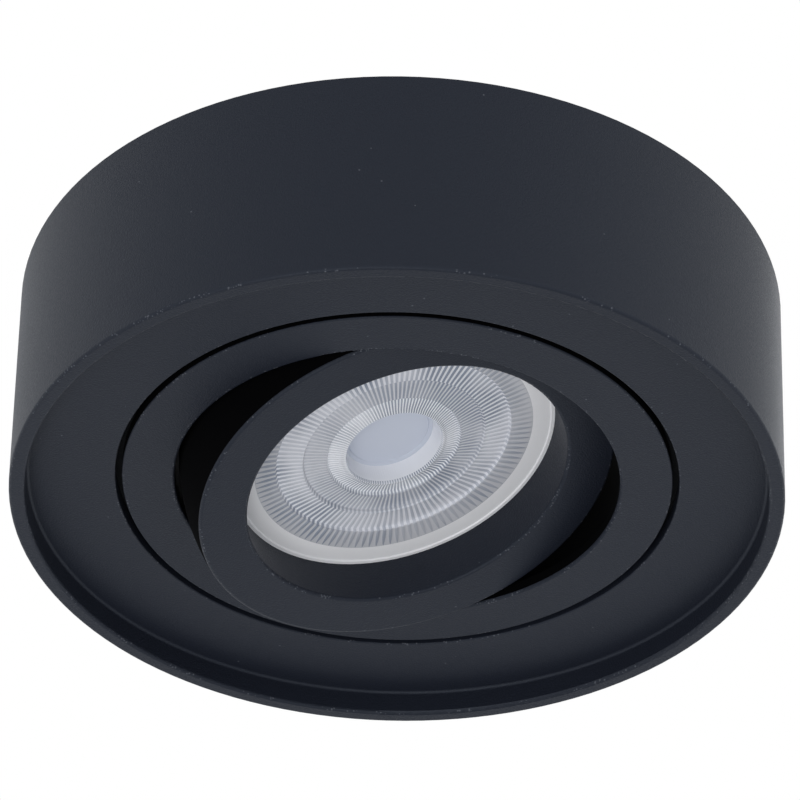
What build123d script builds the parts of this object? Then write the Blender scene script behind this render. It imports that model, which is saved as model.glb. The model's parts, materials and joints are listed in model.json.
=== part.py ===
"""Surface mounted ceiling spotlight: a shallow black drum with a swivelling and tilting lamp ring.

Millimetres and degrees. The origin is the centre of the ceiling face, +Z up, so the light hangs down
to -DRUM_HEIGHT. Three groups of pieces move against each other:

  housing  the drum and what is fixed in it: frame of the ceiling face
  swivel   the ring in the drum's front plate: turned about Z, its own +X is the way the beam leans
  gimbal   the lamp ring and lamp module: origin on the tilt axle, its own -Z is the way the beam goes
"""

from build123d import *
from math import cos, radians, sin, sqrt, tan
import os

# ------------------------------------------------------------------ common
SEAM = 0.5  # how far two shapes that are joined into one solid reach into each other
OVERSHOOT = 2.0  # how far a cutter runs past the face it starts from
FIT_CLEARANCE = 0.1
THREAD_CLEARANCE = 0.05
DRIVER_SLOT = 0.5

# ------------------------------------------------------------------ drum
DRUM_DIAMETER = 115.0
DRUM_HEIGHT = 35.0
DRUM_WALL = 2.4
RIM_ROUND = 0.5
RECESS_DEPTH = 4.0
PLATE_THICKNESS = 2.0
RING_GAP = 1.0
LEDGE_REACH = 2.9
LEDGE_THICKNESS = 1.5

# ------------------------------------------------------------------ swivel ring
RING_THICKNESS = 2.0
RING_LIFT = 0.4
RING_FACE_WIDTH = 7.8
OPENING_ROUND = 0.4
COLLAR_THICKNESS = 3.8
COLLAR_BELOW_SCREW = 0.75  # room under the terminal block's fixing screw
COLLAR_CLEARANCE = 0.3
EAR_WIDTH = 14.0
EAR_ABOVE_PIVOT = 4.2
WASHER_THICKNESS = 0.5
RETAINER_THICKNESS = 1.0
RETAINER_WIDTH = 3.0
RETAINER_GAP = 8.0
RETAINER_GAP_AZIMUTH = 30.0
EYE_RADIUS = 2.1
EYE_BORE = 0.9
EYE_SHIFT = 0.7
EYE_TURN = 8.0
GROOVE_DEPTH = 0.8
SWIVEL_STOP_WIDTH = 3.0
TAB_THICKNESS = 1.8
TAB_OVERHANG = 1.9
TAB_AZIMUTH = 135.0

# ------------------------------------------------------------------ gimbal ring
AIM_AZIMUTH = -20.0
TILT = 17.8
TILT_LIMIT = 20.0
PIVOT_DEPTH = 5.15
SKIRT_OVER_TUBE = 5.4
GIMBAL_GAP = 0.5
GIMBAL_PROUD = 0.85
SKIRT_THICKNESS = 2.0
SKIRT_BEHIND_PIVOT = 9.5
GIMBAL_FACE_THICKNESS = 2.0
MOUTH_DIAMETER = 49.4
MOUTH_DRAFT = 0.3  # how much wider the mouth is at the lens than at the front
LENS_SETBACK = 7.7
LENS_LEDGE = 0.9
TUBE_WALL = 1.6
SOCKET_DEPTH = 10.0
BOSS_RADIUS = 4.6
SPOT_MARGIN = 0.3
EAR_CLEARANCE = 0.4
TILT_WASHER_THICKNESS = 1.1
TILT_WASHER_RADIUS = 4.0
AXLE_RADIUS = 1.5
AXLE_CLEARANCE = 0.05
AXLE_ENGAGEMENT = 2.7
AXLE_END_GAP = 0.2
PIVOT_THREAD_RADIUS = 2.0
PIVOT_SINK = 0.3
PIVOT_SOCKET = 2.0
PIVOT_SOCKET_DEPTH = 1.8
STOP_LUG_WIDTH = 3.0
STOP_LUG_HEIGHT = 3.0
STOP_LUG_ROOT = 2.2
STOP_LUG_REACH = 1.3
STOP_LUG_ABOVE_PIVOT = 5.5
STOP_POST_WIDTH = 2.4
STOP_CLEARANCE = 0.12

# ------------------------------------------------------------------ lamp module
MODULE_CLEARANCE = 0.3
LENS_RIM_HEIGHT = 3.0
LENS_RIM_WIDTH = 0.8
LENS_PLATE = 1.7
LENS_RING_RADII = (7.9, 10.3, 14.0, 18.2)
LENS_RING_RELIEF = 0.5
LENS_FACE_DROP = 0.2
WELL_MOUTH_RADIUS = 7.4
WELL_RADIUS = 6.9
WELL_DEPTH = 3.3
WELL_FLOOR = 1.0
CUP_RADIUS = 8.4
CUP_ROOT_RADIUS = 10.5
SHELL_WALL = 1.5
SHELL_HEIGHT = 3.3
BOARD_THICKNESS = 1.0
CHIP_SIZE = 3.0
CHIP_HEIGHT = 0.6
CHIP_CIRCLE = 5.0
CHIP_COUNT = 6
BOARD_HOLE_X = 10.0
BOARD_HOLE_RADIUS = 1.0
FLANGE_THICKNESS = 1.5
SINK_STEP = 3.2
SINK_HEIGHT = 4.2
SINK_WALL = 1.7
FIN_COUNT = 30
FIN_LENGTH = 4.0
FIN_THICKNESS = 1.1
DRIVER_STANDOFF = 0.8
DRIVER_THICKNESS = 0.8
STANDOFF_CIRCLE = 8.0
STANDOFF_RADIUS = 1.4
COMPONENT_GAP = 0.3
COVER_INSET = 0.4
COVER_THICKNESS = 1.0
COVER_SCREW_INSET = 2.3
COVER_SCREW_COUNT = 3
COVER_SCREW_RADIUS = 0.9
COVER_SCREW_DEPTH = 0.5
COVER_SCREW_HEAD_RADIUS = 1.7
COVER_SCREW_HEAD_HEIGHT = 0.9
SCREW_BOSS_WALL = 1.0
BUSH_HEIGHT = 1.5
BUSH_BORE = 0.8
BUSH_TUBE_WALL = 0.4
BUSH_FOOT_WIDTH = 1.2
WIRE_RADIUS = 0.6
WIRE_LIFT = 0.02
WIRE_END_GAP = 0.9
WIRE_GAP_DEGREES = 36.0

# ------------------------------------------------------------------ ceiling bracket
BRACKET_THICKNESS = 1.5
BRACKET_WIDTH = 22.0
BRACKET_CLEARANCE = 0.7
BRACKET_EAR_WIDTH = 14.0
EAR_BELOW_SCREW = 5.0
SIDE_SCREW_RADIUS = 1.5
SIDE_SCREW_DROP = 6.0
SIDE_SCREW_LENGTH = 4.4
SIDE_SCREW_SINK = 0.3
SIDE_SOCKET = 1.5
SIDE_SOCKET_DEPTH = 1.6
SLOT_SPACING = 50.0
SLOT_LENGTH = 10.0
SLOT_WIDTH = 4.5
CABLE_INSET = 13.4
CABLE_BORE = 8.0
BUSH_WALL = 1.4
BUSH_LIP_WIDTH = 0.8
BUSH_LIP_THICKNESS = 0.6
BUSH_FLANGE_WIDTH = 2.0
BUSH_FLANGE_THICKNESS = 1.4
BUSH_FLANGE_DRAFT = 0.2
BUSH_NOSE_LENGTH = 4.0
BUSH_NOSE_WALL = 0.7

# ------------------------------------------------------------------ terminal block and earth
POLE_PITCH = 6.6
POLE_COUNT = 3
BLOCK_TO_EAR = 0.65
BLOCK_MARGIN = 3.5
BLOCK_DEPTH = 13.0
BLOCK_HEIGHT = 11.0
BLOCK_ROUND = 1.0
BREAK_WIDTH = 1.0
BREAK_DEPTH = 3.0
CLAMP_RADIUS = 1.7
CLAMP_BORE = 1.1
CLAMP_DROP = 5.5
CLAMP_SETBACK = 1.0
CLAMP_SCREW_Y = 3.2
CLAMP_SCREW_RADIUS = 0.9
CLAMP_SCREW_SINK = 0.5
CLAMP_HEAD_RADIUS = 1.15
CLAMP_HEAD_HEIGHT = 1.0
CLAMP_WELL_RADIUS = 1.3
FIXING_RADIUS = 1.25
FIXING_HEAD_RADIUS = 2.2
FIXING_HEAD_HEIGHT = 1.4
CORE_RADIUS = 0.6
SLEEVE_RADIUS = 1.3
LEAD_STRAIGHT = 5.0
EARTH_CORE_RADIUS = 0.8
EARTH_AZIMUTH = 42.0
EARTH_INSET = 4.6
EARTH_BOSS_RADIUS = 3.5
EARTH_BOSS_HEIGHT = 5.0
EARTH_SCREW_RADIUS = 1.5
EARTH_HEAD_RADIUS = 2.7
EARTH_HEAD_HEIGHT = 1.9
LUG_THICKNESS = 0.8
LUG_RADIUS = 3.2
LUG_AZIMUTH = -47.0
BARREL_RADIUS = 1.3
BARREL_START = 4.0
BARREL_END = 8.8
CORE_SPACING = 0.04
SLEEVE_END_Y = 14.5

# ------------------------------------------------------------------ worked out
DRUM_RADIUS = DRUM_DIAMETER / 2
DRUM_INNER = DRUM_RADIUS - DRUM_WALL
PLATE_FACE = -DRUM_HEIGHT + RECESS_DEPTH
PLATE_BACK = PLATE_FACE + PLATE_THICKNESS
PIVOT_Z = PLATE_FACE + PIVOT_DEPTH

MOUTH_RADIUS = MOUTH_DIAMETER / 2
MODULE_RADIUS = MOUTH_RADIUS + LENS_LEDGE - MODULE_CLEARANCE
SOCKET_RADIUS = MOUTH_RADIUS + LENS_LEDGE
TUBE_RADIUS = SOCKET_RADIUS + TUBE_WALL
BALL_RADIUS = TUBE_RADIUS + SKIRT_OVER_TUBE
GIMBAL_FRONT = -(PIVOT_DEPTH + GIMBAL_PROUD)
LENS_FRONT = GIMBAL_FRONT + LENS_SETBACK
TUBE_TOP = LENS_FRONT + SOCKET_DEPTH

OPENING_RADIUS = BALL_RADIUS + GIMBAL_GAP
RING_RADIUS = OPENING_RADIUS + RING_FACE_WIDTH
PLATE_HOLE = RING_RADIUS + RING_GAP
LEDGE_INNER = PLATE_HOLE - LEDGE_REACH
LEDGE_OUTER = PLATE_HOLE + PLATE_THICKNESS
RING_BACK = PLATE_FACE + RING_THICKNESS
LEDGE_LOW = RING_BACK + RING_LIFT
LEDGE_TOP = LEDGE_LOW + LEDGE_THICKNESS
COLLAR_OUTER = LEDGE_INNER - COLLAR_CLEARANCE
COLLAR_INNER = COLLAR_OUTER - COLLAR_THICKNESS
EAR_FACE = BALL_RADIUS + EAR_CLEARANCE
WASHER_TOP = LEDGE_TOP + WASHER_THICKNESS
RETAINER_TOP = WASHER_TOP + RETAINER_THICKNESS
GROOVE_RADIUS = COLLAR_OUTER - GROOVE_DEPTH
TAB_LOW = RETAINER_TOP + COLLAR_CLEARANCE
TAB_TOP = TAB_LOW + TAB_THICKNESS
TAB_REACH = LEDGE_OUTER + TAB_OVERHANG
SPOT_FACE = EAR_FACE - TILT_WASHER_THICKNESS
STOP_LUG_TOP = STOP_LUG_ABOVE_PIVOT + STOP_LUG_HEIGHT
STOP_HALF_GAP = (STOP_LUG_TOP * sin(radians(TILT_LIMIT))
                 + STOP_LUG_WIDTH / 2 * cos(radians(TILT_LIMIT)) + STOP_CLEARANCE)
POST_AZIMUTH = TAB_AZIMUTH + AIM_AZIMUTH + 180.0

SHELL_LOW = LENS_FRONT + LENS_RIM_HEIGHT
SHELL_TOP = SHELL_LOW + SHELL_HEIGHT
SHELL_INNER = MODULE_RADIUS - SHELL_WALL
FLANGE_TOP = SHELL_TOP + FLANGE_THICKNESS
SINK_TOP = FLANGE_TOP + SINK_HEIGHT
SINK_RADIUS = MODULE_RADIUS - SINK_STEP
SINK_CORE = SINK_RADIUS - FIN_LENGTH
CAVITY_RADIUS = SINK_CORE - SINK_WALL
DRIVER_LOW = FLANGE_TOP + DRIVER_STANDOFF
DRIVER_TOP = DRIVER_LOW + DRIVER_THICKNESS
COVER_RADIUS = SINK_CORE - COVER_INSET
COVER_SCREW_CIRCLE = CAVITY_RADIUS - COVER_SCREW_INSET
COVER_TOP = SINK_TOP + COVER_THICKNESS
BUSH_TOP = COVER_TOP + BUSH_HEIGHT

BRACKET_REACH = DRUM_INNER - BRACKET_CLEARANCE
EAR_OUTER = sqrt(BRACKET_REACH ** 2 - (BRACKET_EAR_WIDTH / 2) ** 2)
EAR_INNER = EAR_OUTER - BRACKET_THICKNESS
EAR_BOTTOM = -SIDE_SCREW_DROP - EAR_BELOW_SCREW
CABLE_X = CABLE_INSET - BRACKET_REACH
CABLE_HOLE = CABLE_BORE / 2 + BUSH_WALL
BLOCK_TOP = -BRACKET_THICKNESS
BLOCK_BOTTOM = BLOCK_TOP - BLOCK_HEIGHT
COLLAR_TOP = BLOCK_BOTTOM - FIXING_HEAD_HEIGHT - COLLAR_BELOW_SCREW
CLAMP_Z = BLOCK_TOP - CLAMP_DROP
BLOCK_HALF = POLE_PITCH * (POLE_COUNT - 1) / 2 + BLOCK_MARGIN
BLOCK_X = EAR_INNER - BLOCK_TO_EAR - BLOCK_HALF
FIXING_X = BLOCK_X - POLE_PITCH / 2
SLEEVE_END = (FIXING_X, SLEEVE_END_Y, CLAMP_Z)
EARTH_CIRCLE = DRUM_INNER - EARTH_INSET
LUG_LOW = PLATE_BACK + EARTH_BOSS_HEIGHT
LUG_TOP = LUG_LOW + LUG_THICKNESS

SWIVEL = Rot(0, 0, AIM_AZIMUTH)
GIMBAL = Pos(0, 0, PIVOT_Z) * SWIVEL * Rot(0, -TILT, 0)


# ------------------------------------------------------------------ helpers
def turned(profile, rounds=()):
    """Solid of revolution about Z from (radius, height) corners; rounds are (corner number, radius)."""
    corners = [(radius, 0, height) for radius, height in profile]
    face = make_face(Polyline(*corners, close=True))
    for corner, size in rounds:
        face = fillet(face.vertices().sort_by_distance(Vector(*corners[corner]))[0], size)
    return revolve(face, Axis.Z)


def disc(radius, low, high):
    return Pos(0, 0, low) * Cylinder(radius, high - low, align=(Align.CENTER, Align.CENTER, Align.MIN))


def ring(inner, outer, low, high):
    return disc(outer, low, high) - disc(inner, low, high)


def block(low, high):
    """Box between two opposite corners."""
    size = [top - bottom for bottom, top in zip(low, high)]
    return Pos(*low) * Box(*size, align=(Align.MIN, Align.MIN, Align.MIN))


def rod(radius, start, end):
    """Round bar between two points."""
    axis = Vector(*end) - Vector(*start)
    place = Plane(origin=start, z_dir=axis)
    return place * Cylinder(radius, axis.length, align=(Align.CENTER, Align.CENTER, Align.MIN))


def around(piece, count, first=0.0):
    """Copies of a piece, evenly spaced about Z."""
    return [Rot(0, 0, first + 360.0 * step / count) * piece for step in range(count)]


def on_circle(radius, azimuth, height):
    return (radius * cos(radians(azimuth)), radius * sin(radians(azimuth)), height)


def hex_socket(across_flats, low, high):
    """Cutter for a hexagon socket along Z."""
    hexagon = RegularPolygon(across_flats / 2, 6, major_radius=False)
    return Pos(0, 0, low) * extrude(hexagon, high - low)


def slotted_head(radius, low, high):
    """Screw head whose slot is open towards low."""
    half = DRIVER_SLOT / 2
    return disc(radius, low, high) - block((-radius, -half, low), (radius, half, low + DRIVER_SLOT))


def lead(points, radius):
    """Insulated lead: straight runs with an arc at each corner, as large as its two runs allow."""
    corners = [Vector(*point) for point in points]
    bends = []
    for before, corner, after in zip(corners, corners[1:], corners[2:]):
        turn = (corner - before).get_angle(after - corner)
        shorter = min((corner - before).length, (after - corner).length)
        bends.append(0.45 * shorter / tan(radians(turn / 2)))
    print("lead radii", [round(bend, 1) for bend in bends])
    path = FilletPolyline(*corners, radius=bends)
    return sweep(Plane(origin=path @ 0, z_dir=path % 0) * Circle(radius), path=path)


# ------------------------------------------------------------------ housing
def housing_drum():
    """Wall, recessed front plate and the ledge that carries the swivel ring, in one casting."""
    drum = turned(
        [
            (DRUM_RADIUS, 0),
            (DRUM_RADIUS, -DRUM_HEIGHT),
            (DRUM_INNER, -DRUM_HEIGHT),
            (DRUM_INNER, PLATE_FACE),
            (PLATE_HOLE, PLATE_FACE),
            (PLATE_HOLE, LEDGE_LOW),
            (LEDGE_INNER, LEDGE_LOW),
            (LEDGE_INNER, LEDGE_TOP),
            (LEDGE_OUTER, LEDGE_TOP),
            (LEDGE_OUTER, PLATE_BACK),
            (DRUM_INNER, PLATE_BACK),
            (DRUM_INNER, 0),
        ],
        rounds=((1, RIM_ROUND), (2, RIM_ROUND), (3, RIM_ROUND), (4, RIM_ROUND / 2)),
    )
    post = block(
        (LEDGE_OUTER - SEAM, -SWIVEL_STOP_WIDTH / 2, PLATE_BACK - SEAM),
        (TAB_REACH, SWIVEL_STOP_WIDTH / 2, TAB_TOP),
    )
    boss = disc(EARTH_BOSS_RADIUS, PLATE_BACK - SEAM, LUG_LOW) - disc(EARTH_SCREW_RADIUS, PLATE_BACK, LUG_LOW)
    boss = Pos(*on_circle(EARTH_CIRCLE, EARTH_AZIMUTH, 0)) * boss
    drum = drum + Rot(0, 0, POST_AZIMUTH) * post + boss
    for side in (-1, 1):
        drum -= rod(
            SIDE_SCREW_RADIUS,
            (side * (DRUM_INNER - SEAM), 0, -SIDE_SCREW_DROP),
            (side * (DRUM_RADIUS + OVERSHOOT), 0, -SIDE_SCREW_DROP),
        )
    return drum


def mounting_bracket():
    """Steel strip against the ceiling, with an ear bent down at each end."""
    strip = block(
        (-BRACKET_REACH, -BRACKET_WIDTH / 2, -BRACKET_THICKNESS), (BRACKET_REACH, BRACKET_WIDTH / 2, 0)
    )
    bracket = strip & disc(BRACKET_REACH, -BRACKET_THICKNESS, 0)
    bracket -= block((EAR_OUTER, -BRACKET_WIDTH, -BRACKET_THICKNESS), (DRUM_INNER, BRACKET_WIDTH, 0))
    bracket -= block((-DRUM_INNER, -BRACKET_WIDTH, -BRACKET_THICKNESS), (-EAR_OUTER, BRACKET_WIDTH, 0))
    for side in (-1, 1):
        ear = block(
            (EAR_INNER, -BRACKET_EAR_WIDTH / 2, EAR_BOTTOM), (EAR_OUTER, BRACKET_EAR_WIDTH / 2, 0)
        )
        ear -= rod(
            SIDE_SCREW_RADIUS + THREAD_CLEARANCE,
            (EAR_INNER - OVERSHOOT, 0, -SIDE_SCREW_DROP),
            (EAR_OUTER + OVERSHOOT, 0, -SIDE_SCREW_DROP),
        )
        bracket += Rot(0, 0, 90 - 90 * side) * ear
    for side in (-1, 1):
        slot = SlotOverall(SLOT_LENGTH, SLOT_WIDTH)
        bracket -= Pos(side * SLOT_SPACING / 2, 0, -BRACKET_THICKNESS) * extrude(slot, BRACKET_THICKNESS)
    lip = CABLE_HOLE + BUSH_LIP_WIDTH + FIT_CLEARANCE
    bracket -= Pos(CABLE_X, 0, 0) * disc(CABLE_HOLE + FIT_CLEARANCE, -BRACKET_THICKNESS, 0)
    bracket -= Pos(CABLE_X, 0, 0) * disc(lip, -BUSH_LIP_THICKNESS, 0)
    bracket -= Pos(FIXING_X, 0, 0) * disc(FIXING_RADIUS, -BRACKET_THICKNESS, 0)
    return bracket


def bracket_side_screws():
    """Set screws in the drum's wall whose tips stand in the bracket's ears."""
    start = DRUM_RADIUS - SIDE_SCREW_SINK - SIDE_SCREW_LENGTH
    screw = disc(SIDE_SCREW_RADIUS - THREAD_CLEARANCE, 0, SIDE_SCREW_LENGTH)
    screw -= hex_socket(SIDE_SOCKET, SIDE_SCREW_LENGTH - SIDE_SOCKET_DEPTH, SIDE_SCREW_LENGTH)
    along_x = Pos(start, 0, -SIDE_SCREW_DROP) * Rot(0, 90, 0)
    return around(along_x * screw, 2)


def cable_bush():
    """Soft bush in the bracket's cable hole: lip above, flange and tapered nose below."""
    bore = CABLE_BORE / 2
    flange = -BRACKET_THICKNESS - BUSH_FLANGE_THICKNESS
    tip = -BRACKET_THICKNESS - BUSH_NOSE_LENGTH
    return Pos(CABLE_X, 0, 0) * turned(
        [
            (bore, 0),
            (CABLE_HOLE + BUSH_LIP_WIDTH, 0),
            (CABLE_HOLE + BUSH_LIP_WIDTH, -BUSH_LIP_THICKNESS),
            (CABLE_HOLE, -BUSH_LIP_THICKNESS),
            (CABLE_HOLE, -BRACKET_THICKNESS),
            (CABLE_HOLE + BUSH_FLANGE_WIDTH, -BRACKET_THICKNESS),
            (CABLE_HOLE + BUSH_FLANGE_WIDTH, flange),
            (CABLE_HOLE, flange - BUSH_FLANGE_DRAFT),
            (bore + BUSH_NOSE_WALL, tip),
            (bore, tip),
        ]
    )


def pole_places():
    """X of each pole of the terminal block."""
    return [BLOCK_X + POLE_PITCH * (pole - (POLE_COUNT - 1) / 2) for pole in range(POLE_COUNT)]


def clamp_screw_places():
    return [(x, side * CLAMP_SCREW_Y, 0) for x in pole_places() for side in (-1, 1)]


def terminal_block():
    """Nylon strip with a tunnel for each pole and a well for each clamp screw."""
    half = BLOCK_DEPTH / 2
    body = block((BLOCK_X - BLOCK_HALF, -half, BLOCK_BOTTOM), (BLOCK_X + BLOCK_HALF, half, BLOCK_TOP))
    body = fillet(body.edges().filter_by(Axis.Z), BLOCK_ROUND)
    for x in pole_places():
        body -= rod(CLAMP_RADIUS + THREAD_CLEARANCE, (x, -half, CLAMP_Z), (x, half, CLAMP_Z))
    for x in pole_places()[1:]:
        start = x - (POLE_PITCH + BREAK_WIDTH) / 2
        body -= block((start, -half, BLOCK_BOTTOM), (start + BREAK_WIDTH, half, BLOCK_BOTTOM + BREAK_DEPTH))
    for place in clamp_screw_places():
        body -= Pos(*place) * disc(CLAMP_WELL_RADIUS, BLOCK_BOTTOM, CLAMP_Z)
    return body - Pos(FIXING_X, 0, 0) * disc(FIXING_RADIUS + THREAD_CLEARANCE, BLOCK_BOTTOM, BLOCK_TOP)


def terminal_clamps():
    """Brass tube of each pole, with its two screw holes."""
    half = BLOCK_DEPTH / 2 - CLAMP_SETBACK
    clamps = []
    for x in pole_places():
        clamp = rod(CLAMP_RADIUS, (x, -half, CLAMP_Z), (x, half, CLAMP_Z))
        clamp -= rod(CLAMP_BORE, (x, -half, CLAMP_Z), (x, half, CLAMP_Z))
        for side in (-1, 1):
            hole = disc(CLAMP_SCREW_RADIUS + THREAD_CLEARANCE, BLOCK_BOTTOM, CLAMP_Z)
            clamp -= Pos(x, side * CLAMP_SCREW_Y, 0) * hole
        clamps.append(clamp)
    return clamps


def terminal_screws():
    """Clamp screws, driven from below, their tips against the cores."""
    low = BLOCK_BOTTOM + CLAMP_SCREW_SINK
    high = low + CLAMP_HEAD_HEIGHT
    tip = CLAMP_Z - EARTH_CORE_RADIUS - CORE_SPACING
    screw = slotted_head(CLAMP_HEAD_RADIUS, low, high) + disc(CLAMP_SCREW_RADIUS, high - FIT_CLEARANCE, tip)
    return [Pos(*place) * screw for place in clamp_screw_places()]


def terminal_fixing_screw():
    """Screw up through the block into the bracket."""
    head = slotted_head(FIXING_HEAD_RADIUS, BLOCK_BOTTOM - FIXING_HEAD_HEIGHT, BLOCK_BOTTOM)
    shank = disc(FIXING_RADIUS - THREAD_CLEARANCE, BLOCK_BOTTOM - FIT_CLEARANCE, -FIT_CLEARANCE)
    return Pos(FIXING_X, 0, 0) * (head + shank)


def earth_points():
    """Centre of the earth boss and the two ends of the lug's barrel."""
    centre = Vector(*on_circle(EARTH_CIRCLE, EARTH_AZIMUTH, LUG_TOP + EARTH_CORE_RADIUS))
    away = Vector(*on_circle(1, LUG_AZIMUTH, 0))
    return centre, centre + away * BARREL_START, centre + away * BARREL_END


def earth_lug():
    """Ring terminal under the earth screw, with its crimped barrel."""
    centre, near, far = earth_points()
    over_boss = Pos(centre.X, centre.Y, 0)
    flat = over_boss * disc(LUG_RADIUS, LUG_LOW, LUG_TOP)
    neck = over_boss * Rot(0, 0, LUG_AZIMUTH) * block(
        (0, -BARREL_RADIUS, LUG_LOW), (BARREL_START + BARREL_RADIUS, BARREL_RADIUS, LUG_TOP)
    )
    hole = over_boss * disc(EARTH_SCREW_RADIUS + FIT_CLEARANCE, LUG_LOW, LUG_TOP)
    return flat + neck + rod(BARREL_RADIUS, near, far) - hole


def earth_screw():
    centre = earth_points()[0]
    head = Pos(0, 0, LUG_TOP + EARTH_HEAD_HEIGHT) * Rot(180, 0, 0) * slotted_head(
        EARTH_HEAD_RADIUS, 0, EARTH_HEAD_HEIGHT
    )
    shank = disc(EARTH_SCREW_RADIUS - THREAD_CLEARANCE, PLATE_BACK + SEAM, LUG_TOP + FIT_CLEARANCE)
    return Pos(centre.X, centre.Y, 0) * (head + shank)


def earth_lead():
    """Earth lead from the outer pole down to the lug on the drum."""
    x = pole_places()[-1]
    near, far = earth_points()[1:]
    route = [
        (x, 1.0, CLAMP_Z),
        (x, 12.0, CLAMP_Z),
        (x + 0.4, 18.8, CLAMP_Z - 6.5),
        far + (far - near),
        far,
    ]
    return lead(route, EARTH_CORE_RADIUS)


def core_lead(side):
    """One core, from the end of the sleeve into its pole."""
    x = FIXING_X + side * (CORE_RADIUS + CORE_SPACING / 2)
    pole = FIXING_X + side * POLE_PITCH / 2
    route = [
        (x, SLEEVE_END[1], CLAMP_Z),
        (x, SLEEVE_END[1] - 1.8, CLAMP_Z),
        (pole, SLEEVE_END[1] - 5.6, CLAMP_Z),
        (pole, 1.0, CLAMP_Z),
    ]
    return lead(route, CORE_RADIUS)


def module_lead():
    """Sleeved pair, from the lamp module's bush over the module and round to the terminal block."""
    start = GIMBAL * Pos(0, 0, BUSH_TOP)
    bend = GIMBAL * Pos(0, 0, BUSH_TOP + LEAD_STRAIGHT)
    route = [
        start.position,
        bend.position,
        (-2.3, 10.2, -3.3),
        (6.5, 24.5, -3.0),
        (20.0, 34.0, -6.0),
        (33.0, 31.0, -8.0),
        (FIXING_X, 22.5, CLAMP_Z),
        SLEEVE_END,
    ]
    return lead(route, SLEEVE_RADIUS)


# ------------------------------------------------------------------ swivel
def swivel_ring():
    """Flat ring that shows, with a collar behind it, two ears for the tilt axle and a stop tab."""
    body = turned(
        [
            (OPENING_RADIUS, PLATE_FACE),
            (RING_RADIUS, PLATE_FACE),
            (RING_RADIUS, RING_BACK),
            (COLLAR_OUTER, RING_BACK),
            (COLLAR_OUTER, COLLAR_TOP),
            (COLLAR_INNER, COLLAR_TOP),
            (COLLAR_INNER, RING_BACK),
            (OPENING_RADIUS, RING_BACK),
        ],
        rounds=((0, OPENING_ROUND), (1, RIM_ROUND / 2)),
    )
    ear = block(
        (-EAR_WIDTH / 2, EAR_FACE, RING_BACK - SEAM),
        (EAR_WIDTH / 2, COLLAR_INNER + SEAM, PIVOT_Z + EAR_ABOVE_PIVOT),
    )
    for side in (-1, 1):
        body += Rot(0, 0, 90 - 90 * side) * ear
    for side in (-1, 1):
        edges = sorted((side * STOP_HALF_GAP, side * (STOP_HALF_GAP + STOP_POST_WIDTH)))
        body += block(
            (edges[0], EAR_FACE, PIVOT_Z + EAR_ABOVE_PIVOT - SEAM),
            (edges[1], COLLAR_INNER + SEAM, PIVOT_Z + STOP_LUG_TOP),
        )
    tab = block(
        (COLLAR_OUTER - SEAM, -SWIVEL_STOP_WIDTH / 2, TAB_LOW), (TAB_REACH, SWIVEL_STOP_WIDTH / 2, TAB_TOP)
    )
    body += Rot(0, 0, TAB_AZIMUTH) * tab
    body -= ring(GROOVE_RADIUS, COLLAR_OUTER + FIT_CLEARANCE, WASHER_TOP, RETAINER_TOP + FIT_CLEARANCE)
    body -= rod(PIVOT_THREAD_RADIUS, (0, -RING_RADIUS, PIVOT_Z), (0, RING_RADIUS, PIVOT_Z))
    return SWIVEL * body


def swivel_washer():
    return SWIVEL * ring(LEDGE_INNER, LEDGE_INNER + RETAINER_WIDTH, LEDGE_TOP, WASHER_TOP)


def retaining_ring():
    """Snap ring in the collar's groove, with a plier eye at each side of its gap."""
    inner = GROOVE_RADIUS + FIT_CLEARANCE
    outer = inner + RETAINER_WIDTH
    body = ring(inner, outer, WASHER_TOP, RETAINER_TOP)
    body -= block((0, -RETAINER_GAP / 2, WASHER_TOP), (outer + OVERSHOOT, RETAINER_GAP / 2, RETAINER_TOP))
    for side in (-1, 1):
        place = Rot(0, 0, side * EYE_TURN) * Pos((inner + outer) / 2 + EYE_SHIFT, 0, 0)
        body += place * disc(EYE_RADIUS, WASHER_TOP, RETAINER_TOP)
        body -= place * disc(EYE_BORE, WASHER_TOP, RETAINER_TOP)
    body -= disc(inner, WASHER_TOP, RETAINER_TOP)
    return SWIVEL * Rot(0, 0, RETAINER_GAP_AZIMUTH) * body


def pivot_screws():
    """Dog point set screws in the ears; their plain tips are the tilt axle."""
    end = GROOVE_RADIUS - PIVOT_SINK
    screw = disc(PIVOT_THREAD_RADIUS - THREAD_CLEARANCE, EAR_FACE, end)
    screw += disc(AXLE_RADIUS, SPOT_FACE - AXLE_ENGAGEMENT, EAR_FACE)
    screw -= hex_socket(PIVOT_SOCKET, end - PIVOT_SOCKET_DEPTH, end)
    along_y = Pos(0, 0, PIVOT_Z) * Rot(-90, 0, 0)
    return [SWIVEL * copy for copy in around(along_y * screw, 2)]


def tilt_washers():
    washer = ring(AXLE_RADIUS + FIT_CLEARANCE, TILT_WASHER_RADIUS, SPOT_FACE, EAR_FACE)
    along_y = Pos(0, 0, PIVOT_Z) * Rot(-90, 0, 0)
    return [SWIVEL * copy for copy in around(along_y * washer, 2)]


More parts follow.
